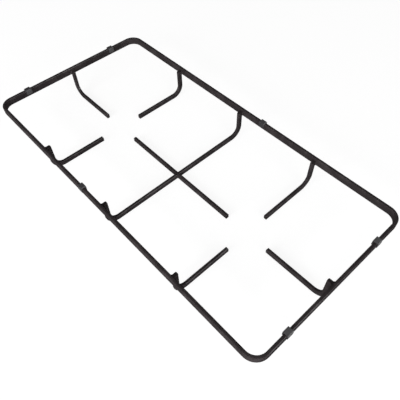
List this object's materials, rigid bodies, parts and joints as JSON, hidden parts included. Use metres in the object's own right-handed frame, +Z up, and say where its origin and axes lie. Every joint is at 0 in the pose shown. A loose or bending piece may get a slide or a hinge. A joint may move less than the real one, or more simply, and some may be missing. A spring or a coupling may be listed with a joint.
{
  "type": "hob pan support",
  "caption": "Enamelled flat-bar pan support for half a gas hob: a rectangular frame on edge with bent fingers, crossed bars and clip-on rubber feet.",
  "frame": {"origin": "on the ground under the middle of the frame, with the part lying upside down as it is shown: the edges that carry the pans are at Z = 0", "axes": "+X along the frame's long side, +Y across it, +Z up towards the rubber feet. In use the part is turned over, onto its feet."},
  "size_m": [0.4782, 0.2342, 0.0452],
  "materials": {
    "enamelled_steel": "near-black vitreous enamel, glossy, baked over the welded bars",
    "foot_rubber": "matt dark grey moulded silicone rubber"
  },
  "bodies": {
    "root": {"outer_frame": "enamelled_steel", "left_end_finger": "enamelled_steel", "right_end_finger": "enamelled_steel", "back_left_finger": "enamelled_steel", "front_left_finger": "enamelled_steel", "back_right_finger": "enamelled_steel", "front_right_finger": "enamelled_steel", "cross_bar": "enamelled_steel", "middle_bar": "enamelled_steel", "left_back_foot": "foot_rubber", "left_front_foot": "foot_rubber", "right_back_foot": "foot_rubber", "right_front_foot": "foot_rubber", "back_foot": "foot_rubber", "front_foot": "foot_rubber"}
  },
  "joints": []
}
